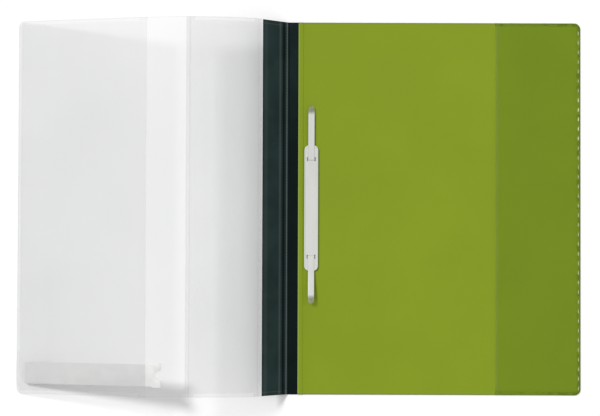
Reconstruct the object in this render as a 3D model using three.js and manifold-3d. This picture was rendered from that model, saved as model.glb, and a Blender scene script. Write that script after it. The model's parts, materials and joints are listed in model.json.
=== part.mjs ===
// A clear view folder for A4 extra wide sheets, lying open on a table with its inside up.
// The coloured back cover lies flat on the right of the fold. The clear front cover lies on the
// left: its spine strip rises from the fold, and the film bends over a crest down to its outer edge.
// Millimetres, +Z up. X runs across the open folder, Y along its fold, towards the top of a page.

import * as THREE from "three";
import { mergeVertices } from "three/addons/utils/BufferGeometryUtils.js";
import Module from "manifold-3d";

// Both covers
const COVER_HEIGHT = 310;
const COVER_WIDTH = 243.5; // from the fold to the outer edge, along the film
const CORNER_RADIUS = 5;
const WELD_WIDTH = 3; // of the seams along the covers' edges
const WELD_RAMP = 2; // over which a pocket's film leaves its seam

// Back cover and its pocket
const BACK_THICKNESS = 0.5;
const BACK_POCKET_WIDTH = 71;
const BACK_POCKET_FILM = 0.3;
const BACK_POCKET_LIFT = 0.5; // of the pocket's film above the cover, at its open edge

// Spine strip: a flange under the back cover's edge, and a leaf that carries the front cover
const SPINE_THICKNESS = 0.5;
const SPINE_FLANGE_SHOWN = 8.3; // between the fold and the back cover's edge
const SPINE_LAP = 3.5; // of the back cover over the flange
const LAP_RAMP = 1.2; // over which the back cover comes down to the table
const SPINE_LEAF = 30;
const LEAF_ANGLE = 46; // degrees above the table
const CREASES = [2.4, 6, 9.6]; // from the fold, pressed into the leaf's inner face
const CREASE_WIDTH = 1;
const CREASE_DEPTH = 0.15;
const FOLD_GAP = 0.3; // between pieces that turn on each other

// Front cover: the film leaves the leaf in a tight bend and then runs over a wide crest
const FILM_THICKNESS = 0.4;
const BEND_RADIUS = 42;
const SHOULDER_ANGLE = 14; // degrees above the table, where the bend meets the crest
const CREST_RADIUS = 155;

// Front cover's two flaps, which hold a title sheet between them
const FLAP_FILM = 0.3;
const OUTER_FLAP_WIDTH = 115;
const OUTER_FLAP_LIFT = 1.4; // room for the label strip, where the film is straight
const OUTER_FLAP_INSET = 0.6; // from the cover's outer edge
const INNER_FLAP_WIDTH = 64;
const INNER_FLAP_START = 2; // from the leaf's edge
const INNER_FLAP_LIFT = 0.5;

// Label strip: it slides out at the front cover's outer edge, and its ears stop it at the seam
const LABEL_LENGTH = 121;
const LABEL_HEIGHT = 18;
const LABEL_THICKNESS = 0.5;
const LABEL_INSET = 7.5; // from the cover's outer edge
const LABEL_BOTTOM = 8.5; // from the cover's bottom edge
const LABEL_PLAY = 0.4; // on every side of the strip, in its channel
const LABEL_CORNER = 1.5;
const EAR_SPREAD = 1; // beyond the strip, on each side
const EAR_LENGTH = 8;
const NOTCH_DEPTH = 5.5;
const NOTCH_WIDTH = 9;

// Filing fastener: a moulded strip with two prongs, and a cover bar over it
const FASTENER_X = 19.2; // from the fold
const HOLE_PITCH = 80;
const BASE_WIDTH = 11;
const BASE_LENGTH = 100;
const BASE_THICKNESS = 0.8;
const BASE_CORNER = 3;
const BAR_WIDTH = 11.5;
const BAR_LENGTH = 104.6;
const BAR_THICKNESS = 1.2;
const BAR_CORNER = 3.8;
const BAR_BEVEL = 0.3;
const PRONG_WIDTH = 5.1;
const PRONG_THICKNESS = 0.8;
const PRONG_TIP_WIDTH = 1.6;
const TOP_PRONG_REACH = 45; // from its hole to its tip
const BOTTOM_PRONG_REACH = 39.5;
const TOP_TIP_RISE = 0.3; // of the tip's underside above the back cover
const BOTTOM_TIP_RISE = 5; // this prong springs up
const PRONG_BEND_RADIUS = 25;
const PRONG_ROOT_RADIUS = 1.2; // where it comes out of the cover bar and turns outwards
const PRONG_PLAY = 0.3; // above the cover bar
const SLOT_PLAY = 0.75; // beside a prong, in the cover bar
const SLOT_LENGTH = 3.6;

const radians = THREE.MathUtils.degToRad;
const wasm = await Module();
wasm.setup();

// A line in the XZ plane, made of stretches that each are straight or turn down at one radius.
// It starts at (x, z) at a heading in radians above the level, and runs towards +X or -X.
// at(s) gives the point at the distance s along it, and the unit normal on its upper side.
function bentLine({ x = 0, z = 0, heading = 0, toward = 1 }, stretches) {
  const pieces = [];
  let start = { s: 0, x, z, heading };
  for (const { length, radius = Infinity } of stretches) {
    pieces.push({ ...start, radius });
    start = { s: start.s + length, ...pointOn(pieces.at(-1), length) };
  }
  function pointOn(piece, d) {
    const h = piece.heading - d / piece.radius;
    const turned = Number.isFinite(piece.radius);
    const run = turned ? piece.radius * (Math.sin(piece.heading) - Math.sin(h)) : d * Math.cos(h);
    const rise = turned ? piece.radius * (Math.cos(h) - Math.cos(piece.heading)) : d * Math.sin(h);
    return { x: piece.x + toward * run, z: piece.z + rise, heading: h };
  }
  return {
    at(s) {
      const piece = pieces.findLast((p) => p.s <= s) ?? pieces[0];
      const p = pointOn(piece, s - piece.s);
      return { ...p, nx: -toward * Math.sin(p.heading), nz: Math.cos(p.heading) };
    },
  };
}

// A geometry from points and triangles, with its faces turned outwards.
function closedGeometry(points, triangles) {
  const [a, b, c] = [0, 1, 2].map(() => new THREE.Vector3());
  let volume = 0;
  for (let i = 0; i < triangles.length; i += 3) {
    [a, b, c].forEach((v, k) => v.fromArray(points, 3 * triangles[i + k]));
    volume += a.dot(b.cross(c));
  }
  const turned = volume < 0 ? triangles.toReversed() : triangles;
  return new THREE.BufferGeometry()
    .setAttribute("position", new THREE.Float32BufferAttribute(points, 3))
    .setIndex(turned);
}

// A sheet that follows a line. Its stations are distances along the line. Its rows run across it,
// each at its own y, and stay in order inside the sheet's half height. under() and over() say how
// far the two faces stand above the line at a station and a row.
const ROW_STEP = 0.1; // between rows that a rounded corner pushes together
function sheetGeometry({ line, stations, rows, half, under, over }) {
  const points = [];
  for (const s of stations) {
    const p = line.at(s);
    rows.forEach((row, j) => {
      const low = j * ROW_STEP - half(s);
      const high = half(s) - (rows.length - 1 - j) * ROW_STEP;
      const y = THREE.MathUtils.clamp(row.y, low, high);
      for (const face of [under, over]) {
        const rise = face(s, row);
        points.push(p.x + p.nx * rise, y, p.z + p.nz * rise);
      }
    });
  }
  const vertex = (i, j, k) => (i * rows.length + j) * 2 + k;
  const triangles = [];
  const quad = (a, b, c, d) => triangles.push(a, b, c, a, c, d);
  const [lastStation, lastRow] = [stations.length - 1, rows.length - 1];
  for (let i = 0; i < lastStation; i++) {
    for (let j = 0; j < lastRow; j++) {
      quad(vertex(i, j, 1), vertex(i + 1, j, 1), vertex(i + 1, j + 1, 1), vertex(i, j + 1, 1));
      quad(vertex(i, j, 0), vertex(i, j + 1, 0), vertex(i + 1, j + 1, 0), vertex(i + 1, j, 0));
    }
    quad(vertex(i, 0, 0), vertex(i + 1, 0, 0), vertex(i + 1, 0, 1), vertex(i, 0, 1));
    quad(
      vertex(i, lastRow, 0),
      vertex(i, lastRow, 1),
      vertex(i + 1, lastRow, 1),
      vertex(i + 1, lastRow, 0),
    );
  }
  for (let j = 0; j < lastRow; j++) {
    quad(vertex(0, j, 0), vertex(0, j, 1), vertex(0, j + 1, 1), vertex(0, j + 1, 0));
    quad(
      vertex(lastStation, j, 0),
      vertex(lastStation, j + 1, 0),
      vertex(lastStation, j + 1, 1),
      vertex(lastStation, j, 1),
    );
  }
  return closedGeometry(points, triangles);
}

// A plain sheet has a row at each edge. A pocket's seams lie along its lower and its upper edge,
// where share is 0, and its film is lifted in between, where share is 1.
const PLAIN_ROWS = [{ y: -Infinity }, { y: Infinity }];
const seamRows = [
  { y: Infinity, share: 0 },
  { y: COVER_HEIGHT / 2 - WELD_WIDTH, share: 0 },
  { y: COVER_HEIGHT / 2 - WELD_WIDTH - WELD_RAMP, share: 1 },
];
const lowerSeam = seamRows.map(({ y, share }) => ({ y: -y, share }));
const upperSeam = seamRows.toReversed();
const POCKET_ROWS = [...lowerSeam, ...upperSeam];

// Even steps from a to b, both included.
const steps = (a, b, count) => Array.from({ length: count + 1 }, (_, i) => a + ((b - a) * i) / count);

// A cover's half height, which its rounded corners lower near its outer edge.
function coverHalf(s) {
  const past = Math.max(0, s - (COVER_WIDTH - CORNER_RADIUS));
  const chord = Math.sqrt(Math.max(0, CORNER_RADIUS ** 2 - past ** 2));
  return COVER_HEIGHT / 2 - CORNER_RADIUS + chord;
}

// Stations round an outer corner, at even angles so that its arc is even.
const CORNER_STEPS = 8;
const cornerStations = steps(0, 90, CORNER_STEPS).map(
  (angle) => COVER_WIDTH - CORNER_RADIUS * (1 - Math.sin(radians(angle))),
);

// 0 within a seam that ends at s = seam, 1 past its ramp; "away" is the side where the pocket lies.
function leaving(s, seam, away) {
  return THREE.MathUtils.clamp(((s - seam) * away) / WELD_RAMP, 0, 1);
}

// Sorted stations without near repeats.
const SAME_STATION = 0.01; // stations this close together are one
function tidyStations(list) {
  const sorted = list.toSorted((a, b) => a - b);
  return sorted.filter((s, i) => i === 0 || s - sorted[i - 1] > SAME_STATION);
}

function mesh(name, geometry, material) {
  const made = new THREE.Mesh(geometry, material);
  made.name = name;
  return made;
}

const COLOURS = {
  lime: { color: 0x88992f, roughness: 0.55 },
  pocket: { color: 0x748725, roughness: 0.4, transparent: true, opacity: 0.6 },
  spine: { color: 0x24302f, roughness: 0.45 },
  film: { color: 0xe4e6e6, roughness: 0.2, transparent: true, opacity: 0.25 },
  flap: { color: 0xdcdfdf, roughness: 0.25, transparent: true, opacity: 0.25 },
  label: { color: 0xdededc, roughness: 0.5 },
  fastener: { color: 0xd6d8d4, roughness: 0.4 },
};
const finish = (kind) => new THREE.MeshStandardMaterial({ metalness: 0, ...COLOURS[kind] });

// The table's surface, from the fold to the right.
const tableLine = bentLine({}, [{ length: COVER_WIDTH }]);

// Where the back cover lies: over the flange near the fold, and on the table past it.
const flangeEnd = SPINE_FLANGE_SHOWN + SPINE_LAP;
const backUnder = (s) =>
  SPINE_THICKNESS * THREE.MathUtils.clamp((flangeEnd + LAP_RAMP - s) / LAP_RAMP, 0, 1);

function backCover() {
  const stations = [SPINE_FLANGE_SHOWN, flangeEnd, flangeEnd + LAP_RAMP, ...cornerStations];
  return mesh(
    "back_cover",
    sheetGeometry({
      line: tableLine,
      stations: tidyStations(stations),
      rows: PLAIN_ROWS,
      half: coverHalf,
      under: backUnder,
      over: (s) => backUnder(s) + BACK_THICKNESS,
    }),
    finish("lime"),
  );
}

function backPocket() {
  const seam = COVER_WIDTH - WELD_WIDTH;
  const mouth = COVER_WIDTH - BACK_POCKET_WIDTH;
  const under = (s, row) => BACK_THICKNESS + BACK_POCKET_LIFT * row.share * leaving(s, seam, -1);
  return mesh(
    "back_pocket",
    sheetGeometry({
      line: tableLine,
      stations: tidyStations([mouth, seam - WELD_RAMP, seam, ...cornerStations]),
      rows: POCKET_ROWS,
      half: coverHalf,
      under,
      over: (s, row) => under(s, row) + BACK_POCKET_FILM,
    }),
    finish("pocket"),
  );
}

function spineFlange() {
  return mesh(
    "spine_flange",
    sheetGeometry({
      line: tableLine,
      stations: [FOLD_GAP, flangeEnd - FOLD_GAP],
      rows: PLAIN_ROWS,
      half: () => COVER_HEIGHT / 2,
      under: () => 0,
      over: () => SPINE_THICKNESS,
    }),
    finish("spine"),
  );
}

// The front cover's inner face, from the fold over the leaf, the bend and the crest to its outer
// edge. The last stretch is straight, and falls just as steeply as brings the edge to the table.
function frontLine(fall) {
  const bend = BEND_RADIUS * radians(LEAF_ANGLE - SHOULDER_ANGLE);
  const crest = CREST_RADIUS * (radians(SHOULDER_ANGLE) + fall);
  return bentLine({ z: SPINE_THICKNESS, heading: radians(LEAF_ANGLE), toward: -1 }, [
    { length: SPINE_LEAF },
    { length: bend, radius: BEND_RADIUS },
    { length: crest, radius: CREST_RADIUS },
    { length: COVER_WIDTH - SPINE_LEAF - bend - crest },
  ]);
}

function edgeClearance(fall) {
  return frontLine(fall).at(COVER_WIDTH).z - FILM_THICKNESS * Math.cos(fall);
}

// The fall angle at which the edge touches the table, found by halving an interval.
const STEEPEST_FALL = 45;
const HALVINGS = 40;
function restingFall() {
  let [low, high] = [0, radians(STEEPEST_FALL)];
  for (let i = 0; i < HALVINGS; i++) {
    const middle = (low + high) / 2;
    if (edgeClearance(middle) > 0) low = middle;
    else high = middle;
  }
  return low;
}

const fall = restingFall();
const coverLine = frontLine(fall);
const bendEnd = SPINE_LEAF + BEND_RADIUS * radians(LEAF_ANGLE - SHOULDER_ANGLE);
const crestEnd = bendEnd + CREST_RADIUS * (radians(SHOULDER_ANGLE) + fall);
const BEND_STEPS = 16;
const CREST_STEPS = 24;
const curveStations = [
  ...steps(SPINE_LEAF, bendEnd, BEND_STEPS),
  ...steps(bendEnd, crestEnd, CREST_STEPS),
];

function spineLeaf() {
  const inCrease = (s) => CREASES.some((c) => Math.abs(s - c) < SAME_STATION);
  const stations = CREASES.flatMap((c) => [c - CREASE_WIDTH / 2, c, c + CREASE_WIDTH / 2]);
  return mesh(
    "spine_leaf",
    sheetGeometry({
      line: coverLine,
      stations: tidyStations([FOLD_GAP, ...stations, SPINE_LEAF - FOLD_GAP]),
      rows: PLAIN_ROWS,
      half: () => COVER_HEIGHT / 2,
      under: () => -SPINE_THICKNESS,
      over: (s) => (inCrease(s) ? -CREASE_DEPTH : 0),
    }),
    finish("spine"),
  );
}

function frontCover() {
  const stations = [SPINE_LEAF + FOLD_GAP, ...curveStations, ...cornerStations];
  return mesh(
    "front_cover",
    sheetGeometry({
      line: coverLine,
      stations: tidyStations(stations.filter((s) => s >= SPINE_LEAF + FOLD_GAP)),
      rows: PLAIN_ROWS,
      half: coverHalf,
      under: () => -FILM_THICKNESS,
      over: () => 0,
    }),
    finish("film"),
  );
}

// The flap along the outer edge. Its seam is open where the label strip passes.
const labelMiddle = LABEL_BOTTOM + LABEL_HEIGHT / 2 - COVER_HEIGHT / 2;
const channelHalf = LABEL_HEIGHT / 2 + LABEL_PLAY;

// How far the strip, which is straight, stands off the film where that bends over the crest.
function straightRise(s) {
  const turned = Math.max(0, crestEnd - s) / CREST_RADIUS;
  return CREST_RADIUS * (1 / Math.cos(turned) - 1);
}

function outerFlap() {
  const mouth = COVER_WIDTH - OUTER_FLAP_WIDTH;
  const seam = COVER_WIDTH - WELD_WIDTH;
  const channel = [
    { y: labelMiddle - channelHalf - WELD_RAMP, share: 1 },
    { y: labelMiddle - channelHalf, share: 1, open: true },
    { y: labelMiddle + channelHalf, share: 1, open: true },
    { y: labelMiddle + channelHalf + WELD_RAMP, share: 1 },
  ];
  const rows = [...lowerSeam, ...channel, ...upperSeam];
  const under = (s, row) =>
    (OUTER_FLAP_LIFT + straightRise(s)) * row.share * (row.open ? 1 : leaving(s, seam, -1));
  const edge = COVER_WIDTH - OUTER_FLAP_INSET;
  const stations = [mouth, ...curveStations, seam - WELD_RAMP, seam, ...cornerStations, edge];
  return mesh(
    "outer_flap",
    sheetGeometry({
      line: coverLine,
      stations: tidyStations(stations.filter((s) => s >= mouth && s <= edge)),
      rows,
      half: coverHalf,
      under,
      over: (s, row) => under(s, row) + FLAP_FILM,
    }),
    finish("flap"),
  );
}

// The flap along the spine, welded beside the leaf and open towards the outer edge.
function innerFlap() {
  const start = SPINE_LEAF + INNER_FLAP_START;
  const seam = start + WELD_WIDTH;
  const mouth = start + INNER_FLAP_WIDTH;
  const under = (s, row) => INNER_FLAP_LIFT * row.share * leaving(s, seam, 1);
  const inside = curveStations.filter((s) => s > start && s < mouth);
  return mesh(
    "inner_flap",
    sheetGeometry({
      line: coverLine,
      stations: tidyStations([start, seam, seam + WELD_RAMP, ...inside, mouth]),
      rows: POCKET_ROWS,
      half: coverHalf,
      under,
      over: (s, row) => under(s, row) + FLAP_FILM,
    }),
    finish("flap"),
  );
}

// The label strip in its own plane: u from its outer end towards its ears, v across it.
const CURVE_SEGMENTS = 6; // for each notch and rounded corner
function labelShape() {
  const half = LABEL_HEIGHT / 2;
  const wide = half + EAR_SPREAD;
  const earStart = LABEL_LENGTH - EAR_LENGTH;
  const shape = new THREE.Shape();
  shape.moveTo(LABEL_CORNER, -half);
  shape.lineTo(earStart, -half);
  shape.lineTo(earStart + EAR_SPREAD, -wide);
  shape.lineTo(LABEL_LENGTH, -wide);
  shape.lineTo(LABEL_LENGTH, -NOTCH_WIDTH / 2);
  shape.quadraticCurveTo(LABEL_LENGTH - 2 * NOTCH_DEPTH, 0, LABEL_LENGTH, NOTCH_WIDTH / 2);
  shape.lineTo(LABEL_LENGTH, wide);
  shape.lineTo(earStart + EAR_SPREAD, wide);
  shape.lineTo(earStart, half);
  shape.lineTo(LABEL_CORNER, half);
  shape.quadraticCurveTo(0, half, 0, half - LABEL_CORNER);
  shape.lineTo(0, LABEL_CORNER - half);
  shape.quadraticCurveTo(0, -half, LABEL_CORNER, -half);
  return shape;
}

function labelStrip() {
  const geometry = new THREE.ExtrudeGeometry(labelShape(), {
    depth: LABEL_THICKNESS,
    bevelEnabled: false,
    curveSegments: CURVE_SEGMENTS,
  });
  const strip = mesh("label_strip", geometry, finish("label"));
  const end = coverLine.at(COVER_WIDTH - LABEL_INSET);
  strip.position.set(end.x + end.nx * LABEL_PLAY, labelMiddle, end.z + end.nz * LABEL_PLAY);
  strip.rotation.y = -fall;
  return strip;
}

function roundedRectangle(width, length, radius) {
  const [w, l] = [width / 2, length / 2];
  const shape = new THREE.Shape();
  shape.moveTo(w, radius - l);
  shape.lineTo(w, l - radius);
  shape.absarc(w - radius, l - radius, radius, 0, Math.PI / 2);
  shape.lineTo(radius - w, l);
  shape.absarc(radius - w, l - radius, radius, Math.PI / 2, Math.PI);
  shape.lineTo(-w, radius - l);
  shape.absarc(radius - w, radius - l, radius, Math.PI, 1.5 * Math.PI);
  shape.lineTo(w - radius, -l);
  shape.absarc(w - radius, radius - l, radius, 1.5 * Math.PI, 2 * Math.PI);
  return shape;
}

// A geometry as a solid that can be joined, and back.
const SAME_POINT = 1e-4; // corners this close together are one
function solid(geometry) {
  const bare = new THREE.BufferGeometry()
    .setAttribute("position", geometry.getAttribute("position"))
    .setIndex(geometry.index);
  const merged = mergeVertices(bare, SAME_POINT);
  return new wasm.Manifold(
    new wasm.Mesh({
      numProp: 3,
      vertProperties: merged.attributes.position.array,
      triVerts: new Uint32Array(merged.index.array),
    }),
  );
}

function geometryOf(joined) {
  const { vertProperties, triVerts } = joined.getMesh();
  return new THREE.BufferGeometry()
    .setAttribute("position", new THREE.BufferAttribute(vertProperties, 3))
    .setIndex(new THREE.BufferAttribute(triVerts, 1));
}

const ends = [-1, 1]; // the fastener's bottom and top half
const baseTop = BACK_THICKNESS + BASE_THICKNESS;
const barTop = baseTop + BAR_THICKNESS;

// A prong: it rises from the middle of the base plate, turns outwards over the cover bar's end,
// and then runs a little down or up to its rounded tip.
const PRONG_BEND_STEPS = 6;
const PRONG_TIP_STEPS = 6;
function prongGeometry(reach, tipRise) {
  const foot = BACK_THICKNESS + BASE_THICKNESS / 2;
  const riser = barTop + PRONG_PLAY + PRONG_THICKNESS / 2 - PRONG_ROOT_RADIUS - foot;
  const root = (PRONG_ROOT_RADIUS * Math.PI) / 2;
  const pastBar = (BAR_LENGTH - HOLE_PITCH) / 2;
  const drop = barTop + PRONG_PLAY - (BACK_THICKNESS + tipRise);
  const slope = Math.atan2(drop, reach - pastBar);
  const bend = PRONG_BEND_RADIUS * Math.abs(slope);
  const bendStart = riser + root + pastBar - PRONG_ROOT_RADIUS;
  const total = bendStart + reach - pastBar;
  const line = bentLine({ z: foot, heading: Math.PI / 2 }, [
    { length: riser },
    { length: root, radius: PRONG_ROOT_RADIUS },
    { length: pastBar - PRONG_ROOT_RADIUS },
    { length: bend, radius: Math.sign(slope) * PRONG_BEND_RADIUS },
    { length: total - bendStart - bend },
  ]);
  const tipRadius = PRONG_WIDTH / 2;
  const tipStart = total - tipRadius;
  const half = (s) => {
    const past = THREE.MathUtils.clamp((s - tipStart) / tipRadius, 0, 1);
    return Math.max(PRONG_TIP_WIDTH / 2, tipRadius * Math.sqrt(1 - past ** 2));
  };
  const stations = [
    0,
    ...steps(riser, riser + root, PRONG_BEND_STEPS),
    ...steps(bendStart, bendStart + bend, PRONG_BEND_STEPS),
    ...steps(0, 90, PRONG_TIP_STEPS).map((a) => tipStart + tipRadius * Math.sin(radians(a))),
  ];
  return sheetGeometry({
    line,
    stations: tidyStations(stations),
    rows: PLAIN_ROWS,
    half,
    under: () => -PRONG_THICKNESS / 2,
    over: () => PRONG_THICKNESS / 2,
  });
}

function prongStrip() {
  const plate = new THREE.ExtrudeGeometry(roundedRectangle(BASE_WIDTH, BASE_LENGTH, BASE_CORNER), {
    depth: BASE_THICKNESS,
    bevelEnabled: false,
    curveSegments: CURVE_SEGMENTS,
  });
  plate.translate(0, 0, BACK_THICKNESS);
  const joined = ends.reduce((body, end) => {
    const prong =
      end > 0
        ? prongGeometry(TOP_PRONG_REACH, TOP_TIP_RISE)
        : prongGeometry(BOTTOM_PRONG_REACH, BOTTOM_TIP_RISE);
    prong.rotateZ((end * Math.PI) / 2).translate(0, (end * HOLE_PITCH) / 2, 0);
    return body.add(solid(prong));
  }, solid(plate));
  const strip = mesh("prong_strip", geometryOf(joined), finish("fastener"));
  strip.position.x = FASTENER_X;
  return strip;
}

const BEVEL_SEGMENTS = 2;
function coverBar() {
  const shape = roundedRectangle(BAR_WIDTH - 2 * BAR_BEVEL, BAR_LENGTH - 2 * BAR_BEVEL, BAR_CORNER);
  const slotHalf = PRONG_WIDTH / 2 + SLOT_PLAY + BAR_BEVEL;
  const slotReach = SLOT_LENGTH / 2 + BAR_BEVEL;
  for (const end of ends) {
    const y = (end * HOLE_PITCH) / 2;
    const corners = [
      [-slotHalf, y - slotReach],
      [-slotHalf, y + slotReach],
      [slotHalf, y + slotReach],
      [slotHalf, y - slotReach],
    ];
    shape.holes.push(new THREE.Path(corners.map(([px, py]) => new THREE.Vector2(px, py))));
  }
  const geometry = new THREE.ExtrudeGeometry(shape, {
    depth: BAR_THICKNESS - 2 * BAR_BEVEL,
    bevelThickness: BAR_BEVEL,
    bevelSize: BAR_BEVEL,
    bevelSegments: BEVEL_SEGMENTS,
    curveSegments: CURVE_SEGMENTS,
  });
  const bar = mesh("cover_bar", geometry, finish("fastener"));
  bar.position.set(FASTENER_X, 0, baseTop + BAR_BEVEL);
  return bar;
}

// The origin lies under the middle of the whole outline, on the table.
const folder = new THREE.Group();
folder.name = "clear_view_folder";
folder.position.x = -(COVER_WIDTH + coverLine.at(COVER_WIDTH).x) / 2;
folder.add(
  backCover(),
  backPocket(),
  spineFlange(),
  spineLeaf(),
  frontCover(),
  outerFlap(),
  innerFlap(),
  labelStrip(),
  prongStrip(),
  coverBar(),
);

export default folder;
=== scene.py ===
"""A clear view folder, lying open with its inside up: lime back cover, dark spine, clear front cover.

Metres, in the part's frame: +X from the clear cover to the lime one, +Y up the page, +Z up.
Sheets follow a line across the folder, and stand at a distance above or below it.
"""

import json
import math

import bpy
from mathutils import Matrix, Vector

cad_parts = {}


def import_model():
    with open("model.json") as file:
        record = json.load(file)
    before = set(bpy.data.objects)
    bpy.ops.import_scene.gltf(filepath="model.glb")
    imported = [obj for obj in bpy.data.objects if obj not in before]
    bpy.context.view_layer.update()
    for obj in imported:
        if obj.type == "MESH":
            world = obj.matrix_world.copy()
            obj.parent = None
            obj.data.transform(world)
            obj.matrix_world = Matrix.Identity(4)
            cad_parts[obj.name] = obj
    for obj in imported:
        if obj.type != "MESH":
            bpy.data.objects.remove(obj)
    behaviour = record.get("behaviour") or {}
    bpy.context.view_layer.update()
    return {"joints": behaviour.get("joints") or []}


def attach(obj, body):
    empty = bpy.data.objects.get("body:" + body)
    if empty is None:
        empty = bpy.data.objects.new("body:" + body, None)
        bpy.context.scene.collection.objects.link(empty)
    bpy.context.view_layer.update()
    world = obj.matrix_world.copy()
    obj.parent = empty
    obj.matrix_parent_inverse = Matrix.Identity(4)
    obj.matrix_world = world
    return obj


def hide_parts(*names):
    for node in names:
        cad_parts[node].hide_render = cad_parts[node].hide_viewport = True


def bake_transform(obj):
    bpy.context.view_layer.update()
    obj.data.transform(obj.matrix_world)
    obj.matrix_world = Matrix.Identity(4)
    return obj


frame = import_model()

MM = 0.001

# Both covers, with the solids' sizes
COVER_HEIGHT = 310 * MM
COVER_WIDTH = 243.5 * MM
CORNER_RADIUS = 5 * MM
WELD_WIDTH = 3 * MM  # of the seams along the covers' edges
WELD_RAMP = 2 * MM  # over which a film leaves its seam
BACK_THICKNESS = 0.5 * MM
POCKET_FILM = 0.3 * MM
POCKET_LIFT = 0.5 * MM  # of the pocket's film above the cover
SPINE_THICKNESS = 0.5 * MM
FLANGE_SHOWN = 8.3 * MM  # between the fold and the back cover's edge
FLANGE_LAP = 3.5 * MM  # of the back cover over the flange
FLANGE_PLAY = 0.3 * MM  # between the flange's hidden edge and the ramp past it
LAP_RAMP = 1.2 * MM  # over which the back cover comes down to the table
SPINE_LEAF = 30 * MM
LEAF_ANGLE = math.radians(46)  # above the table
FOLD_GAP = 0.3 * MM  # from the leaf's hinge to the front cover, and twice what the leaf stops short
FILM_THICKNESS = 0.4 * MM
BEND_RADIUS = 42 * MM
SHOULDER_ANGLE = math.radians(14)  # above the table, where the bend meets the crest
CREST_RADIUS = 155 * MM
FLAP_FILM = 0.3 * MM
FLAP_RAMP = 5 * MM  # over which a flap leaves its lower and its upper seam
FLAP_LIFT = 1.4 * MM  # of the outer flap, as room for the label strip
FLAP_INSET = 0.6 * MM  # of the outer flap from the cover's outer edge
INNER_START = 2 * MM  # from the leaf's edge to the inner flap
INNER_LIFT = 0.5 * MM
OUTER_FLAP_WIDTH = 115 * MM
INNER_FLAP_WIDTH = 64 * MM
POCKET_WIDTH = 71 * MM

# Label strip
LABEL_LENGTH = 121 * MM
LABEL_HEIGHT = 18 * MM
LABEL_THICKNESS = 0.5 * MM
LABEL_CORNER = 1.5 * MM
LABEL_BEVEL = 0.1 * MM
LABEL_INSET = 7.5 * MM  # from the cover's outer edge
LABEL_BOTTOM = 8.5 * MM  # from the cover's lower edge
LABEL_PLAY = 0.4 * MM  # round the strip, in its channel
EAR_SPREAD = 1 * MM  # beyond the strip, on each side
EAR_LENGTH = 8 * MM
NOTCH_DEPTH = 5.5 * MM
NOTCH_WIDTH = 9 * MM

# Fastener
FASTENER_X = 19.2 * MM  # from the fold
HOLE_PITCH = 80 * MM
BASE_SIZE = (11 * MM, 100 * MM)
BASE_THICKNESS = 0.8 * MM
BASE_CORNER = 3 * MM
BAR_SIZE = (11.5 * MM, 104.6 * MM)
BAR_THICKNESS = 1.2 * MM
BAR_CORNER = 4.1 * MM
BAR_ROUNDING = 0.35 * MM
BAR_ROUNDING_MIDDLE = 0.1 * MM  # of its middle point, from each of the two faces
RIM_WIDTH = 0.9 * MM
RIM_HEIGHT = 0.3 * MM
RIM_SLOPE = 0.3 * MM
PAST_HOLE = (BAR_SIZE[1] - HOLE_PITCH) / 2  # from a prong's hole to the bar's end
PRONG_WIDTH = 5.1 * MM
PRONG_THICKNESS = 0.8 * MM
PRONG_TIP_WIDTH = 1.6 * MM
# The upper prong is 1 and the lower one -1.
PRONG_REACH = {1: 45 * MM, -1: 39.5 * MM}  # from its hole to its tip
TIP_RISE = {1: 1.2 * MM, -1: 5 * MM}  # of the tip's underside above the back cover
PRONG_BEND_RADIUS = 25 * MM
PRONG_ROOT_RADIUS = 0.45 * MM
PRONG_SUNK = 0.7 * MM  # how far its underside lies below the bar's top
PRONG_RIB_HALF = 1.5 * MM
PRONG_RIB_HEIGHT = 0.12 * MM
PRONG_RIB_SLOPE = 0.6 * MM
CLEAR_TIP = 7.5 * MM  # length of a prong's greyish end, whose grey is partly the thin plastic's own and partly painted shade
TIP_FADE = 4 * MM
PRONG_SLOT = (5.3 * MM, 0.84 * MM)
SIDE_SLOT = (1.2 * MM, 3.4 * MM)
SLOT_SHIFT = 0.6 * MM  # of the side slots past the hole
SLOT_FLOOR = 0.15 * MM  # what the side slots leave of the plate
SLOT_CORNER = 0.2 * MM
CHANNEL_PLAY = 0.1 * MM
CUT_OVER = 1 * MM  # how far a cut reaches past the face that it opens

joints = {joint["name"]: joint for joint in frame["joints"]}
fold = Vector(joints["spine_fold"]["pos_m"])
slide = Vector(joints["label_slide"]["axis"]).normalized()
FALL = math.atan2(-slide.z, -slide.x)  # of the cover's straight stretch, below level


def clamp(value, low=0.0, high=1.0):
    return max(low, min(high, value))


def smooth(value):
    value = clamp(value)
    return value * value * (3 - 2 * value)


def steps(a, b, count):
    return [a + (b - a) * i / count for i in range(count + 1)]


def srgb(r, g, b):
    """A colour of 0 to 255 as linear values."""
    parts = [c / 255 for c in (r, g, b)]
    return [c / 12.92 if c <= 0.04045 else ((c + 0.055) / 1.055) ** 2.4 for c in parts]


class BentLine:
    """A line in the XZ plane, of stretches that are straight (radius 0) or turn down at a radius."""

    def __init__(self, x, z, heading, toward, stretches):
        self.toward = toward
        self.pieces = []
        start = (0.0, x, z, heading)
        for length, radius in stretches:
            self.pieces.append((start, radius))
            x, z, heading = self.along(self.pieces[-1], length)
            start = (start[0] + length, x, z, heading)

    def along(self, piece, d):
        (_, x, z, heading), radius = piece
        if not radius:
            return x + self.toward * d * math.cos(heading), z + d * math.sin(heading), heading
        turned = heading - d / radius
        run = radius * (math.sin(heading) - math.sin(turned))
        rise = radius * (math.cos(turned) - math.cos(heading))
        return x + self.toward * run, z + rise, turned

    def point(self, s, height):
        """The point at the distance s along the line, at a height above it."""
        piece = [p for p in self.pieces if p[0][0] <= max(s, 0)][-1]
        x, z, heading = self.along(piece, s - piece[0][0])
        return x - self.toward * math.sin(heading) * height, z + math.cos(heading) * height


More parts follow.
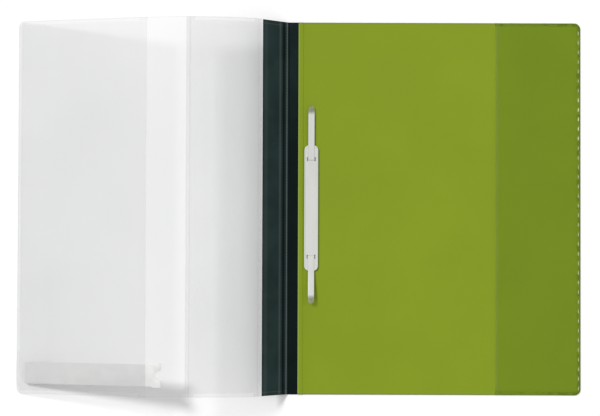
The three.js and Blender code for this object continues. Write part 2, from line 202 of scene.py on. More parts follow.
table_line = BentLine(fold.x, 0, 0, 1, [(COVER_WIDTH, 0)])
BEND = BEND_RADIUS * (LEAF_ANGLE - SHOULDER_ANGLE)
CREST = CREST_RADIUS * (SHOULDER_ANGLE + FALL)
BEND_END = SPINE_LEAF + BEND
CREST_END = BEND_END + CREST
cover_line = BentLine(
    fold.x,
    SPINE_THICKNESS,
    LEAF_ANGLE,
    -1,
    [(SPINE_LEAF, 0), (BEND, BEND_RADIUS), (CREST, CREST_RADIUS), (COVER_WIDTH - CREST_END, 0)],
)

SMOOTH_ANGLE = math.radians(35)  # faces that meet at more than this keep a sharp edge
LEAST_STEP = 0.02 * MM  # between neighbouring stations or rows of a sheet


def shade_smooth(mesh):
    mesh.polygons.foreach_set("use_smooth", [True] * len(mesh.polygons))
    mesh.set_sharp_from_angle(angle=SMOOTH_ANGLE)


def make_object(name, points, faces, material):
    mesh = bpy.data.meshes.new(name)
    mesh.from_pydata(points, [], faces)
    mesh.validate()
    shade_smooth(mesh)
    mesh.materials.append(material)
    made = bpy.data.objects.new(name, mesh)
    bpy.context.scene.collection.objects.link(made)
    return made


def sheet(name, line, stations, rows, half, under, over, material, mark=None):
    """A closed thin sheet. Stations are distances along its line and rows are places across it.
    half gives its half height at a station, under and over its two faces' heights above the line,
    and mark a value that is kept in the mesh for its material."""
    points = []
    marks = []
    last = len(rows) - 1
    for s in stations:
        edge = half(s)
        for j, row in enumerate(rows):
            y = clamp(row, j * LEAST_STEP - edge, edge - (last - j) * LEAST_STEP)
            for face in (under, over):
                x, z = line.point(s, face(s, row))
                points.append((x, y, z))
                marks.append(mark(s, row) if mark else 0.0)
    width = len(rows)

    def vertex(i, j, k):
        return (i * width + j) * 2 + k

    faces = []
    for i in range(len(stations) - 1):
        for j in range(last):
            top = [vertex(i, j, 1), vertex(i + 1, j, 1), vertex(i + 1, j + 1, 1), vertex(i, j + 1, 1)]
            faces.append(top)
            faces.append([v - 1 for v in reversed(top)])
        faces.append([vertex(i, 0, 0), vertex(i + 1, 0, 0), vertex(i + 1, 0, 1), vertex(i, 0, 1)])
        faces.append(
            [vertex(i, last, 0), vertex(i, last, 1), vertex(i + 1, last, 1), vertex(i + 1, last, 0)]
        )
    end = len(stations) - 1
    for j in range(last):
        faces.append([vertex(0, j, 0), vertex(0, j, 1), vertex(0, j + 1, 1), vertex(0, j + 1, 0)])
        faces.append(
            [vertex(end, j, 0), vertex(end, j + 1, 0), vertex(end, j + 1, 1), vertex(end, j, 1)]
        )
    if line.toward < 0:
        faces = [list(reversed(face)) for face in faces]
    made = make_object(name, points, faces, material)
    attribute = made.data.attributes.new("mark", "FLOAT", "POINT")
    attribute.data.foreach_set("value", marks)
    return made


# Materials


class Nodes:
    """A material's node tree, built a node at a time."""

    def __init__(self, name):
        self.material = bpy.data.materials.new(name)
        self.material.use_nodes = True
        self.tree = self.material.node_tree
        self.shader = self.tree.nodes["Principled BSDF"]

    def add(self, kind, inputs=None, **settings):
        node = self.tree.nodes.new(kind)
        for key, value in settings.items():
            setattr(node, key, value)
        for key, value in (inputs or {}).items():
            self.put(node.inputs[key], value)
        return node

    def put(self, socket, value):
        if isinstance(value, bpy.types.NodeSocket):
            self.tree.links.new(value, socket)
        else:
            socket.default_value = value

    def set(self, **values):
        for key, value in values.items():
            self.put(self.shader.inputs[key.replace("_", " ")], value)

    def place(self):
        return self.add("ShaderNodeTexCoord").outputs["Object"]

    def grain(self, scale, detail=3.0, stretch=(1, 1, 1)):
        """Noise with a number of cells in a metre."""
        mapping = self.add("ShaderNodeMapping", {"Vector": self.place(), "Scale": stretch})
        inputs = {"Vector": mapping.outputs[0], "Scale": scale, "Detail": detail}
        return self.add("ShaderNodeTexNoise", inputs).outputs[0]

    def span(self, value, low, high, start=0.35, end=0.65):
        """A value from start to end, as a number from low to high."""
        inputs = {"Value": value, 1: start, 2: end, 3: low, 4: high}
        return self.add("ShaderNodeMapRange", inputs).outputs[0]

    def mix(self, share, a, b):
        node = self.add("ShaderNodeMix", data_type="RGBA")
        self.put(node.inputs["Factor"], share)
        self.put(node.inputs["A"], a)
        self.put(node.inputs["B"], b)
        return node.outputs["Result"]

    def uneven(self, value, base, low, high):
        """A base colour that varies with a value, from a low to a high factor."""
        return self.mix(self.span(value, 0, 1), tone(base, low), tone(base, high))

    def math(self, operation, a, b=0.0):
        return self.add("ShaderNodeMath", {0: a, 1: b}, operation=operation).outputs[0]

    def bump(self, height, distance, strength=0.5):
        inputs = {"Height": height, "Distance": distance, "Strength": strength}
        self.put(self.shader.inputs["Normal"], self.add("ShaderNodeBump", inputs).outputs[0])

    def mark(self):
        return self.add("ShaderNodeAttribute", attribute_name="mark").outputs["Fac"]


def tone(colour, factor=1.0):
    return [c * factor for c in colour] + [1.0]


def lime_material():
    """Finely matt film: a close pressed grain, and a soft cloudiness in its colour. Its mark is
    above 0 in the welded rim, which is duller, and below 0 at the cut edge by the spine, which gets a
    painted highlight, as the light from the left catches that edge."""
    n = Nodes("lime_film")
    base = srgb(129, 149, 30)
    cloudy = n.uneven(n.grain(14), base, 0.97, 1.03)
    speckled = n.mix(n.span(n.grain(2600), 0, 0.35), cloudy, tone(base, 0.9))
    # A painted highlight along the cut edge by the spine.
    pale = n.mix(n.math("MULTIPLY", n.mark(), -1.0), speckled, tone(srgb(156, 174, 92)))
    seam = n.mix(n.math("MULTIPLY", n.mark(), 0.6), pale, tone(srgb(112, 124, 66)))
    n.set(Base_Color=seam, Roughness=n.span(n.grain(900), 0.5, 0.62))
    n.shader.inputs["Specular IOR Level"].default_value = 0.15
    n.bump(n.grain(2200), 0.05 * MM, 0.35)
    return n.material


def pocket_material():
    """Translucent green film with a rough seam, whose mark turns it pale."""
    n = Nodes("pocket_film")
    base = srgb(124, 154, 22)
    cloudy = n.uneven(n.grain(20), base, 0.96, 1.04)
    pale = n.mix(n.mark(), cloudy, tone(srgb(232, 242, 184)))
    n.set(Base_Color=pale, Roughness=n.span(n.grain(700), 0.34, 0.48))
    n.set(Alpha=n.math("ADD", 0.2, n.math("MULTIPLY", n.mark(), 0.75)))
    n.shader.inputs["Specular IOR Level"].default_value = 0.3
    n.bump(n.grain(1800), 0.04 * MM, 0.3)
    return n.material


def spine_material():
    """Dark green film with a leathery pressed grain. Its mark is above 0 on the creases' ridges, which
    get a painted highlight, and below 0 in a groove, which gets painted shade, and on the flange, which
    is painted darker as a painted reflection."""
    n = Nodes("spine_film")
    base = srgb(38, 54, 54)
    cloudy = n.uneven(n.grain(60), base, 0.85, 1.15)
    # Painted shade in the grooves and the fold, and the flange's painted darker reflection.
    painted_shade = n.mix(n.math("MULTIPLY", n.mark(), -1.0), cloudy, tone(srgb(2, 8, 7)))
    # Painted highlights on the ridges; the weld lines at the strip's ends are lightened in the same mix.
    painted_highlight = n.mix(n.mark(), painted_shade, tone(srgb(112, 122, 118)))
    n.set(Base_Color=painted_highlight, Roughness=n.span(n.grain(500), 0.45, 0.6))
    n.shader.inputs["Specular IOR Level"].default_value = 0.04
    n.bump(n.grain(1500), 0.06 * MM, 0.5)
    return n.material


FILM_SHADE = (172, 174, 174)
GRAZING_SHARE = 0.08  # how much more the film hides when it is seen edge on
GRAZING_POWER = 4
HAZE_FADE = (-50 * MM, 150 * MM)  # the places up the page between which a film's haze changes; where it thins towards the top, that is painted light


def film_material(name, share, upper=1.0):
    """Clear film: faintly grey, with drawn streaks and soft smudges in its gloss. Its haze hides a
    share of what lies behind it, times upper near the upper edge; an upper below 1 is painted light, for
    light that is stronger towards the top of the page. It hides more at a low angle, as it
    reflects more there, and where its mark is above 0, on welds and cut edges."""
    n = Nodes(name)
    base = srgb(*FILM_SHADE)
    streaks = n.grain(220, 2, (1, 0.03, 1))
    cloudy = n.uneven(streaks, base, 0.95, 1.05)
    n.set(Base_Color=cloudy, Roughness=n.span(n.grain(30), 0.16, 0.3))
    along = n.add("ShaderNodeSeparateXYZ", {"Vector": n.place()}).outputs["Y"]
    # Where upper is below 1, the thinner haze towards the top is painted light.
    fade = n.span(along, 1.0, upper, *HAZE_FADE)
    hazy = n.math("MULTIPLY", n.span(n.grain(9, 2), share * 0.92, share * 1.08), fade)
    facing = n.add("ShaderNodeLayerWeight", {"Blend": 0.5}).outputs["Facing"]
    gloss = n.math("MULTIPLY", n.math("POWER", facing, GRAZING_POWER), GRAZING_SHARE)
    seams = n.math("MULTIPLY", n.mark(), 0.1)
    n.set(Alpha=n.math("ADD", n.math("ADD", hazy, gloss), seams))
    n.shader.inputs["Specular IOR Level"].default_value = 0.4
    n.bump(streaks, 0.02 * MM, 0.25)
    return n.material


def label_material():
    """White plastic, finely matt, a little uneven."""
    n = Nodes("label_plastic")
    base = srgb(219, 219, 218)
    n.set(Base_Color=n.uneven(n.grain(120), base, 0.96, 1.02))
    n.set(Roughness=n.span(n.grain(900), 0.42, 0.58))
    n.bump(n.grain(2400), 0.03 * MM, 0.3)
    return n.material


def fastener_material(name, clear_tips):
    """Moulded white plastic with a faint flow texture. The prongs' tips, where the mark is 1, are
    thin and greyish, and let some light by; their grey is partly the thin plastic's own colour and
    partly painted shade of the tip."""
    n = Nodes(name)
    base = srgb(208, 209, 204)
    flow = n.grain(160, 3, (1, 0.12, 1))
    colour = n.uneven(flow, base, 0.95, 1.02)
    if clear_tips:
        # Grey tips: partly the thin plastic's own colour, partly painted shade.
        colour = n.mix(n.math("MULTIPLY", n.mark(), 0.9), colour, tone(srgb(150, 154, 136)))
        n.set(Alpha=n.math("SUBTRACT", 1.0, n.math("MULTIPLY", n.mark(), 0.6)))
    n.set(Base_Color=colour, Roughness=n.span(n.grain(700), 0.32, 0.46))
    n.bump(n.grain(1300), 0.03 * MM, 0.3)
    return n.material


lime = lime_material()
pocket_film = pocket_material()
spine_film = spine_material()
cover_film = film_material("clear_film", 0.038)
# Its haze thins towards the upper edge: painted light, for light that falls off down the page.
outer_film = film_material("outer_flap_film", 0.1, 0.8)
inner_film = film_material("inner_flap_film", 0.12)
label_plastic = label_material()
bar_plastic = fastener_material("bar_plastic", False)
prong_plastic = fastener_material("prong_plastic", True)

HALF_HEIGHT = COVER_HEIGHT / 2


def cover_half(s):
    """A cover's half height, which its rounded corners lower near its outer edge."""
    past = max(0.0, s - (COVER_WIDTH - CORNER_RADIUS))
    chord = math.sqrt(max(0.0, CORNER_RADIUS**2 - past**2))
    return HALF_HEIGHT - CORNER_RADIUS + chord


CORNER_STEPS = 14
EDGE_ZONE = 7 * MM  # beside an outer edge, where stations are close together
SEAM_ZONE = 10 * MM  # beside the lower and the upper edge, where rows are close together
corner_stations = [
    COVER_WIDTH - CORNER_RADIUS * (1 - math.sin(math.radians(angle)))
    for angle in steps(0, 90, CORNER_STEPS)
]


def rows_for_seams(spacing):
    """Rows across a sheet, close together at the seams along its two edges."""
    inner = HALF_HEIGHT - SEAM_ZONE
    near = steps(inner, HALF_HEIGHT, 20)
    count = round(2 * inner / spacing)
    return sorted({*[-y for y in near], *steps(-inner, inner, count), *near})


def spaced(stations, low, high):
    """The stations between two limits, without those that almost repeat the one before."""
    kept = []
    for s in sorted(stations):
        if low <= s <= high and (not kept or s - kept[-1] > LEAST_STEP):
            kept.append(s)
    return kept


def edge_share(y, ramp):
    """0 in the seams along the lower and the upper edge, 1 past the ramp inside them."""
    return smooth((HALF_HEIGHT - WELD_WIDTH - abs(y)) / ramp)


def rim(distance, width):
    """1 at an edge, fading to 0 at a width from it."""
    return 1 - smooth(distance / width)


def edge_distance(s, y):
    return min(COVER_WIDTH - s, HALF_HEIGHT - abs(y))


# Back cover and its pocket

FLANGE_END = FLANGE_SHOWN + FLANGE_LAP
POCKET_SEAM = COVER_WIDTH - WELD_WIDTH
SEAM_LINE = COVER_WIDTH - 1.7 * MM
DASH_PITCH = 8 * MM
DASH_START = -1.3 * MM
DASH_LENGTH = 3.4 * MM
DASH_WIDTH = 0.9 * MM
DASH_FADE = 1.2 * MM
DASH_HEIGHT = 0.12 * MM
PALE_DASHES = (54 * MM, 99 * MM)  # where on the page the dashes are pale
PALE_FADE = 6 * MM
RIM_START = 0.4 * MM  # how far in from the back cover's edge its dull rim begins to fade
RIM_FADE = 1.2 * MM
MOUTH_START = 0.3 * MM  # the same at the pocket's open edge
MOUTH_FADE = 0.8 * MM


def back_under(s):
    return SPINE_THICKNESS * smooth((FLANGE_END + LAP_RAMP - s) / LAP_RAMP)


def back_cover():
    lap = steps(FLANGE_END, FLANGE_END + LAP_RAMP, 6)
    edge = steps(FLANGE_SHOWN, FLANGE_SHOWN + 1.5 * MM, 5)
    middle = steps(20 * MM, COVER_WIDTH - CORNER_RADIUS, 40)
    stations = [*edge, *lap, *middle, *corner_stations]

    def mark(s, y):
        dull = rim(edge_distance(s, y) - RIM_START, RIM_FADE)
        # Below 0: a painted highlight along the cut edge by the spine.
        return dull - 0.8 * rim(s - FLANGE_SHOWN, RIM_FADE)

    piece = sheet(
        "lime_cover",
        table_line,
        spaced(stations, FLANGE_SHOWN, COVER_WIDTH),
        rows_for_seams(6 * MM),
        cover_half,
        lambda s, y: back_under(s),
        lambda s, y: back_under(s) + BACK_THICKNESS,
        lime,
        mark,
    )
    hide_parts("back_cover")
    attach(piece, "back")


def dash(s, y):
    """How much a welded dash rises at a place on the pocket's outer seam, 0 to 1."""
    along = abs(((y - DASH_START) / DASH_PITCH) % 1 - 0.5) * DASH_PITCH
    return rim(abs(s - SEAM_LINE), DASH_WIDTH) * rim(along - (DASH_LENGTH - DASH_FADE) / 2, DASH_FADE)


def back_pocket():
    mouth = COVER_WIDTH - POCKET_WIDTH
    near_seam = steps(COVER_WIDTH - EDGE_ZONE, COVER_WIDTH, 28)
    stations = [*steps(mouth, COVER_WIDTH - EDGE_ZONE, 16), *near_seam, *corner_stations]

    def under(s, y):
        lift = edge_share(y, WELD_RAMP) * smooth((POCKET_SEAM - s) / WELD_RAMP)
        return BACK_THICKNESS + POCKET_LIFT * lift

    def mark(s, y):
        low, high = PALE_DASHES
        pale = smooth((y - low) / PALE_FADE) * smooth((high - y) / PALE_FADE)
        lip = rim(s - mouth - MOUTH_START, MOUTH_FADE)
        return clamp(dash(s, y) * (0.7 + 0.3 * pale) + 0.1 * lip)

    piece = sheet(
        "pocket",
        table_line,
        spaced(stations, mouth, COVER_WIDTH),
        rows_for_seams(0.8 * MM),
        cover_half,
        under,
        lambda s, y: under(s, y) + POCKET_FILM + DASH_HEIGHT * dash(s, y),
        pocket_film,
        mark,
    )
    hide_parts("back_pocket")
    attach(piece, "back")


# Spine strip: one film from under the lime cover, round the fold and up the leaf

CREASES = (2.4 * MM, 6 * MM, 9.6 * MM)
CREASE_WIDTH = 0.8 * MM
CREASE_DEPTH = 0.16 * MM
STITCH_PITCH = 2.4 * MM
END_WELD = 3 * MM  # from the strip's ends to the line of the weld there
END_WELD_HALF = 0.6 * MM
CREASED = 12 * MM  # from the fold, where stations are close together
FLANGE_FADE = (40 * MM, 80 * MM)  # where on the page the flange's painted darkness, a painted reflection, starts to ease, and over how much
# The middle and the half width of the strip's painted highlights on ridges and painted shade in grooves,
# from the fold
FOLD_RIDGE = (1.7 * MM, 1 * MM)
DARK_GROOVE = (5.5 * MM, 2.2 * MM)
LIT_RIDGE = (9.9 * MM, 1.9 * MM)
LEAF_EDGE = (26.5 * MM, 3.5 * MM)
FOLD_GROOVE = (-0.4 * MM, 1.2 * MM)


def band(s, place):
    middle, width = place
    return rim(abs(s - middle), width)


class FoldedSpine:
    """The spine's line: s below 0 lies on the table, right of the fold, and s above 0 on the leaf."""

    toward = -1

    def point(self, s, height):
        if s < 0:
            return fold.x - s, SPINE_THICKNESS + height
        x, z = cover_line.point(s, height)
        return x, max(z, SPINE_THICKNESS + height)


def spine_strip():
    lap = FLANGE_END - FLANGE_PLAY
    fine = steps(0, CREASED, 60)
    leaf_end = SPINE_LEAF - FOLD_GAP / 2

    def groove(s):
        return max(band(s, (crease, CREASE_WIDTH)) for crease in CREASES)

    def over(s, y):
        return -CREASE_DEPTH * groove(s)

    def mark(s, y):
        stitch = 0.8 + 0.2 * math.cos(2 * math.pi * y / STITCH_PITCH)
        # The fold's ridge gets a painted highlight, in dots up the page.
        ridge = 0.8 * stitch * band(s, FOLD_RIDGE)
        # Painted highlights on a further ridge and along the leaf's edge.
        painted_highlight = 0.28 * band(s, LIT_RIDGE) + 0.12 * band(s, LEAF_EDGE)
        end_weld = 0.22 * band(HALF_HEIGHT - abs(y), (END_WELD, END_WELD_HALF)) if s > 0 else 0
        # Painted shade in a groove and in the fold.
        painted_shade = 0.9 * band(s, DARK_GROOVE) + band(s, FOLD_GROOVE)
        # The flange is painted darker than the leaf, as a painted reflection: the flange mirrors the dim
        # space overhead and the leaf the bright side of the room. This painted darkness eases towards
        # the top of the page.
        fade = smooth((y - FLANGE_FADE[0]) / FLANGE_FADE[1])
        flange = 0.85 - 0.25 * fade if s < 0 else 0
        return clamp(ridge + painted_highlight + end_weld - max(painted_shade, flange), -1, 1)

    piece = sheet(
        "spine",
        FoldedSpine(),
        spaced([*steps(-lap, 0, 20), *fine, *steps(CREASED, leaf_end, 14)], -lap, leaf_end),
        steps(-HALF_HEIGHT, HALF_HEIGHT, 520),
        lambda s: HALF_HEIGHT,
        lambda s, y: -SPINE_THICKNESS,
        over,
        spine_film,
        mark,
    )
    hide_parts("spine_flange", "spine_leaf")
    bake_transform(piece)


# Front cover and its flaps

OUTER_MOUTH = COVER_WIDTH - OUTER_FLAP_WIDTH
INNER_MOUTH = SPINE_LEAF + INNER_START + INNER_FLAP_WIDTH
LABEL_MIDDLE = LABEL_BOTTOM + LABEL_HEIGHT / 2 - HALF_HEIGHT
CHANNEL_HALF = LABEL_HEIGHT / 2 + LABEL_PLAY
CHANNEL_ZONE = 13 * MM  # either side of the label strip's middle, where rows are close together
START_ZONE = 6 * MM  # from a sheet's edge nearest the spine, where stations are close together
CUT_LINE = 0.7 * MM  # how far in a cut edge shows
WELD_LINE = 0.5 * MM  # how far a weld's edge shows on each side
HEM = 3 * MM  # from the inner flap's open edge to the middle of its hem
HEM_HALF = 0.9 * MM


def film_stations(low, high):
    curve = [*steps(SPINE_LEAF, BEND_END, 24), *steps(BEND_END, CREST_END, 40)]
    flat = steps(CREST_END, COVER_WIDTH - EDGE_ZONE, 24)
    near_seam = steps(COVER_WIDTH - EDGE_ZONE, COVER_WIDTH, 14)
    ends = [*steps(low, low + START_ZONE, 10), high]
    return spaced([*curve, *flat, *near_seam, *corner_stations, *ends], low, high)


def front_cover():
    start = SPINE_LEAF + FOLD_GAP
    piece = sheet(
        "front_film",
        cover_line,
        film_stations(start, COVER_WIDTH),
        rows_for_seams(5 * MM),
        cover_half,
        lambda s, y: -FILM_THICKNESS,
        lambda s, y: 0.0,
        cover_film,
        lambda s, y: rim(edge_distance(s, y), CUT_LINE),
    )
    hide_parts("front_cover")
    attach(piece, "front")


def straight_rise(s):
    """How far the straight label strip stands off the film where that bends over the crest."""
    turned = max(0.0, CREST_END - s) / CREST_RADIUS
    return CREST_RADIUS * (1 / math.cos(turned) - 1)


def outer_flap():
    seam = COVER_WIDTH - WELD_WIDTH
    edge = COVER_WIDTH - FLAP_INSET

    def under(s, y):
        leaving = smooth((seam - s) / WELD_RAMP)
        beside = smooth((abs(y - LABEL_MIDDLE) - CHANNEL_HALF) / WELD_RAMP)
        open_share = 1 + (leaving - 1) * beside
        return (FLAP_LIFT + straight_rise(s)) * edge_share(y, FLAP_RAMP) * open_share

    def mark(s, y):
        return clamp(0.15 * rim(s - OUTER_MOUTH, CUT_LINE) + 0.6 * band(s, (seam, WELD_LINE)))

    rows = sorted({
        *rows_for_seams(5 * MM),
        *steps(LABEL_MIDDLE - CHANNEL_ZONE, LABEL_MIDDLE + CHANNEL_ZONE, 52),
    })
    piece = sheet(
        "outer_flap_film",
        cover_line,
        film_stations(OUTER_MOUTH, edge),
        spaced(rows, -HALF_HEIGHT, HALF_HEIGHT),
        cover_half,
        under,
        lambda s, y: under(s, y) + FLAP_FILM,
        outer_film,
        mark,
    )
    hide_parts("outer_flap")
    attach(piece, "front")


def inner_flap():
    start = SPINE_LEAF + INNER_START
    seam = start + WELD_WIDTH

    def under(s, y):
        return INNER_LIFT * edge_share(y, FLAP_RAMP) * smooth((s - seam) / WELD_RAMP)

    def mark(s, y):
        lip = rim(INNER_MOUTH - s, WELD_LINE)
        hem = band(s, (INNER_MOUTH - HEM, HEM_HALF))
        return clamp(0.5 * (lip + hem + band(s, (seam, WELD_LINE))))

    near_mouth = steps(INNER_MOUTH - HEM - 2 * MM, INNER_MOUTH, 20)
    piece = sheet(
        "inner_flap_film",
        cover_line,
        spaced([*film_stations(start, INNER_MOUTH), *near_mouth], start, INNER_MOUTH),
        rows_for_seams(5 * MM),
        cover_half,
        under,
        lambda s, y: under(s, y) + FLAP_FILM,
        inner_film,
        mark,
    )
    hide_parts("inner_flap")
    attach(piece, "front")


# Label strip: a straight strip with a swallow-tail end


def label_outline():
    """Points round the strip, (u, v): u from its outer end, v across it."""
    half = LABEL_HEIGHT / 2
    wide = half + EAR_SPREAD
    ear = LABEL_LENGTH - EAR_LENGTH
    corner = LABEL_CORNER
    upper = [(LABEL_LENGTH - notch_depth(v), v) for v in steps(0, NOTCH_WIDTH / 2, 8)]
    upper += [(LABEL_LENGTH, wide), (ear + EAR_SPREAD, wide), (ear, half)]
    for angle in steps(90, 180, 6):
        turn = math.radians(angle)
        upper.append((corner + corner * math.cos(turn), half - corner + corner * math.sin(turn)))
    return upper + [(u, -v) for u, v in reversed(upper[1:])]


def notch_depth(v):
    return NOTCH_DEPTH * (1 - (2 * v / NOTCH_WIDTH) ** 2)


def bevel(piece, width):
    modifier = piece.modifiers.new("bevel", "BEVEL")
    modifier.width = width
    modifier.segments = 2
    modifier.limit_method = "ANGLE"
    apply_modifiers(piece)


def apply_modifiers(piece):
    bpy.context.view_layer.update()
    evaluated = piece.evaluated_get(bpy.context.evaluated_depsgraph_get())
    made = bpy.data.meshes.new_from_object(evaluated)
    piece.modifiers.clear()
    piece.data = made
    shade_smooth(made)


def prism(name, outline, place, material):
    """A plate with an outline of (u, v); place(u, v, side) gives its lower and its upper face."""
    count = len(outline)
    points = [place(u, v, side) for side in (0, 1) for u, v in outline]
    faces = [list(range(count, 2 * count)), list(reversed(range(count)))]
    for i in range(count):
        after = (i + 1) % count
        faces.append([i, after, after + count, i + count])
    return make_object(name, points, faces, material)


def label_strip():
    x0, z0 = cover_line.point(COVER_WIDTH - LABEL_INSET, LABEL_PLAY)
    up = Vector((-math.sin(FALL), 0, math.cos(FALL)))

    def place(u, v, side):
        return Vector((x0, LABEL_MIDDLE + v, z0)) - slide * u + up * LABEL_THICKNESS * side

    piece = prism("label", label_outline(), place, label_plastic)
    bevel(piece, LABEL_BEVEL)
    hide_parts("label_strip")
    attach(piece, "label")


# Filing fastener


def rounded_rectangle(size, corner, count=8):
    w, l = size[0] / 2 - corner, size[1] / 2 - corner
    points = []
    for quarter, (cx, cy) in enumerate([(w, l), (-w, l), (-w, -l), (w, -l)]):
        for angle in steps(90 * quarter, 90 * quarter + 90, count):
            turn = math.radians(angle)
            points.append((cx + corner * math.cos(turn), cy + corner * math.sin(turn)))
    return points


BASE_TOP = BACK_THICKNESS + BASE_THICKNESS
BAR_TOP = BASE_TOP + BAR_THICKNESS
PRONG_SEAT = BAR_TOP - PRONG_SUNK


def inset(size, by):
    return size[0] - 2 * by, size[1] - 2 * by


def cover_bar():
    """A bar with a raised, rounded rim and a shallow panel inside it. Each prong comes through a slot
    with a small opening at each side, and lies in a channel that leads out over the bar's end."""
    x = fold.x + FASTENER_X
    soft, middle = BAR_ROUNDING, BAR_ROUNDING_MIDDLE
    # How far each ring of points lies inside the bar's outline, and its height
    rings = [
        (soft, BASE_TOP),
        (middle, BASE_TOP + middle),
        (0, BASE_TOP + soft),
        (0, BAR_TOP - soft),
        (middle, BAR_TOP - middle),
        (soft, BAR_TOP),
        (RIM_WIDTH, BAR_TOP),
        (RIM_WIDTH + RIM_SLOPE, BAR_TOP - RIM_HEIGHT),
    ]
    points = []
    for by, z in rings:
        ring = rounded_rectangle(inset(BAR_SIZE, by), BAR_CORNER - by)
        points += [(x + px, py, z) for px, py in ring]
    count = len(points) // len(rings)
    faces = [list(reversed(range(count))), list(range(len(points) - count, len(points)))]
    for level in range(len(rings) - 1):
        for i in range(count):
            after = (i + 1) % count
            low, high = level * count, (level + 1) * count
            faces.append([low + i, low + after, high + after, high + i])
    piece = make_object("bar", points, faces, bar_plastic)
    channel = (PRONG_WIDTH + 2 * CHANNEL_PLAY, PAST_HOLE + CUT_OVER)
    for end in (-1, 1):
        hole = end * HOLE_PITCH / 2
        cut_slot(piece, x, hole, PRONG_SLOT, BASE_TOP - CUT_OVER)
        cut_slot(piece, x, hole + end * channel[1] / 2, channel, PRONG_SEAT - CHANNEL_PLAY)
    cut_side_openings(piece)
    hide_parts("cover_bar")
    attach(piece, "back")


def cut_slot(piece, x, y, size, bottom):
    """Cuts a piece open from above down to a height."""
    outline = rounded_rectangle(size, SLOT_CORNER, 4)

    def place(u, v, side):
        return x + u, y + v, BAR_TOP + CUT_OVER if side else bottom

    cutter = prism("cutter", outline, place, bar_plastic)
    modifier = piece.modifiers.new("slot", "BOOLEAN")
    modifier.operation = "DIFFERENCE"
    modifier.object = cutter
    modifier.solver = "EXACT"
    apply_modifiers(piece)
    bpy.data.objects.remove(cutter)


def cut_side_openings(piece):
    """Cuts the small openings beside the prongs, which leave a floor of the plate."""
    beside = (PRONG_WIDTH + SIDE_SLOT[0]) / 2
    bottom = BACK_THICKNESS + SLOT_FLOOR
    for end in (-1, 1):
        for side in (-1, 1):
            x = fold.x + FASTENER_X + side * beside
            cut_slot(piece, x, end * (HOLE_PITCH / 2 + SLOT_SHIFT), SIDE_SLOT, bottom)


def prong_line(end):
    """The line along a prong's middle, and its length: up from the plate, outwards, then to its tip."""
    foot = BACK_THICKNESS + BASE_THICKNESS / 2
    riser = PRONG_SEAT + PRONG_THICKNESS / 2 - PRONG_ROOT_RADIUS - foot
    root = PRONG_ROOT_RADIUS * math.pi / 2
    past_bar = PRONG_REACH[end] - PAST_HOLE
    drop = PRONG_SEAT - (BACK_THICKNESS + TIP_RISE[end])
    slope = math.atan2(drop, past_bar)
    bend = PRONG_BEND_RADIUS * abs(slope)
    bend_start = riser + root + PAST_HOLE - PRONG_ROOT_RADIUS
    total = bend_start + past_bar
    stretches = [
        (riser, 0),
        (root, PRONG_ROOT_RADIUS),
        (PAST_HOLE - PRONG_ROOT_RADIUS, 0),
        (bend, math.copysign(PRONG_BEND_RADIUS, slope)),
        (past_bar - bend, 0),
    ]
    stations = [0, *steps(riser, riser + root, 10), *steps(bend_start, bend_start + bend, 10)]
    rounding = PRONG_WIDTH / 2
    stations += [total - rounding + rounding * math.sin(math.radians(a)) for a in steps(0, 90, 10)]
    stations += steps(total - 2 * CLEAR_TIP, total - rounding, 16)
    return BentLine(0, foot, math.pi / 2, 1, stretches), spaced(stations, 0, total), total


def prongs():
    x = fold.x + FASTENER_X

    def plate_place(u, v, side):
        return x + u, v, BACK_THICKNESS + side * BASE_THICKNESS

    plate = prism("prongs", rounded_rectangle(BASE_SIZE, BASE_CORNER), plate_place, prong_plastic)
    cut_side_openings(plate)
    made = [plate]
    widest = PRONG_WIDTH / 2
    for end in (-1, 1):
        line, stations, total = prong_line(end)

        def half(s):
            past = clamp((s - total + widest) / widest)
            return max(PRONG_TIP_WIDTH / 2, widest * math.sqrt(1 - past**2))

        def mark(s, y):
            return smooth((s - total + CLEAR_TIP) / TIP_FADE)

        # A shallow rib runs along the middle of its upper face.
        def over(s, y):
            beside_rib = 1 - rim(abs(y) - PRONG_RIB_HALF, PRONG_RIB_SLOPE)
            return PRONG_THICKNESS / 2 - PRONG_RIB_HEIGHT * beside_rib

        blade = sheet(
            "blade",
            line,
            stations,
            steps(-widest, widest, 16),
            half,
            lambda s, y: -PRONG_THICKNESS / 2,
            over,
            prong_plastic,
            mark,
        )
        for vertex in blade.data.vertices:
            run, side, z = vertex.co
            vertex.co = (x - end * side, end * (HOLE_PITCH / 2 + run), z)
        made.append(blade)
    piece = join(made)
    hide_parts("prong_strip")
    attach(piece, "back")


def join(pieces):
    with bpy.context.temp_override(
        active_object=pieces[0], object=pieces[0], selected_editable_objects=pieces
    ):
        bpy.ops.object.join()
    return pieces[0]


back_cover()
back_pocket()
spine_strip()
front_cover()
outer_flap()
inner_flap()
label_strip()
cover_bar()
prongs()

# Stage: a plain white floor that keeps the shadow, plain light, and a camera that looks down

FLOOR_DROP = 0.1 * MM
FLOOR_REACH = 4.0
# Each lamp: the direction that its light comes from, its energy and its width in degrees
KEY_LIGHT = ((-0.65, 0.57, 1), 1.83, 12)
SIDE_LIGHT = ((0.9, 0, 1), 0.2, 30)
WORLD_LEVEL = 0.55
CAMERA_PLACE = (0.9 * MM, -43 * MM, 1.55)
CAMERA_ROLL = math.radians(0.2)
FIELD_WIDTH = 0.5  # what the camera sees of the table, from side to side
SENSOR_WIDTH = 36  # in millimetres
FACE_LIMIT = 32


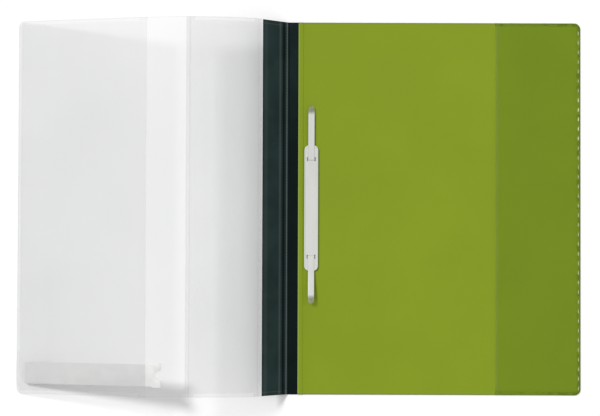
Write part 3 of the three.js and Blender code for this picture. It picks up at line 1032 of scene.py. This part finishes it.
def white_outside(tree, shaded, level):
    """Shows pure white where a look, a gloss or a clear piece meets the background."""
    path = tree.nodes.new("ShaderNodeLightPath")
    seen = path.outputs["Is Camera Ray"]
    for name in ("Is Glossy Ray", "Is Transmission Ray"):
        both = tree.nodes.new("ShaderNodeMath")
        both.operation = "MAXIMUM"
        tree.links.new(seen, both.inputs[0])
        tree.links.new(path.outputs[name], both.inputs[1])
        seen = both.outputs[0]
    blend = tree.nodes.new("ShaderNodeMix")
    tree.links.new(seen, blend.inputs["Factor"])
    blend.inputs["A"].default_value = level
    blend.inputs["B"].default_value = 1.0
    tree.links.new(blend.outputs["Result"], shaded)


def floor():
    material = bpy.data.materials.new("floor_white")
    material.use_nodes = True
    shader = material.node_tree.nodes["Principled BSDF"]
    shader.inputs["Roughness"].default_value = 0.9
    shader.inputs["Specular IOR Level"].default_value = 0.0
    shader.inputs["Base Color"].default_value = (1, 1, 1, 1)
    corners = [(-1, -1), (1, -1), (1, 1), (-1, 1)]
    points = [(x * FLOOR_REACH, y * FLOOR_REACH, -FLOOR_DROP) for x, y in corners]
    piece = make_object("floor", points, [[0, 1, 2, 3]], material)


def world():
    made = bpy.data.worlds.new("studio")
    bpy.context.scene.world = made
    made.use_nodes = True
    background = made.node_tree.nodes["Background"]
    background.inputs["Color"].default_value = (1, 1, 1, 1)
    white_outside(made.node_tree, background.inputs["Strength"], WORLD_LEVEL)


def sun(name, toward, energy, width):
    """A lamp whose light comes from a direction, with a width in degrees that softens its shadows."""
    data = bpy.data.lights.new(name, "SUN")
    data.energy = energy
    data.angle = math.radians(width)
    lamp = bpy.data.objects.new(name, data)
    lamp.rotation_euler = Vector(toward).to_track_quat("Z", "Y").to_euler()
    bpy.context.scene.collection.objects.link(lamp)


def camera():
    """A camera above a place a little below the page's middle, which it looks at."""
    _, y, height = CAMERA_PLACE
    data = bpy.data.cameras.new("camera")
    data.sensor_width = SENSOR_WIDTH
    data.lens = SENSOR_WIDTH * height / FIELD_WIDTH
    made = bpy.data.objects.new("camera", data)
    made.location = CAMERA_PLACE
    made.rotation_euler = (math.atan2(-y, height), 0, CAMERA_ROLL)
    bpy.context.scene.collection.objects.link(made)
    bpy.context.scene.camera = made


floor()
world()
sun("key", *KEY_LIGHT)
sun("side", *SIDE_LIGHT)
camera()
bpy.context.scene.view_settings.view_transform = "Standard"
# A look and its light each cross every film of the shut folder, and each film has two faces.
bpy.context.scene.cycles.transparent_max_bounces = FACE_LIMIT
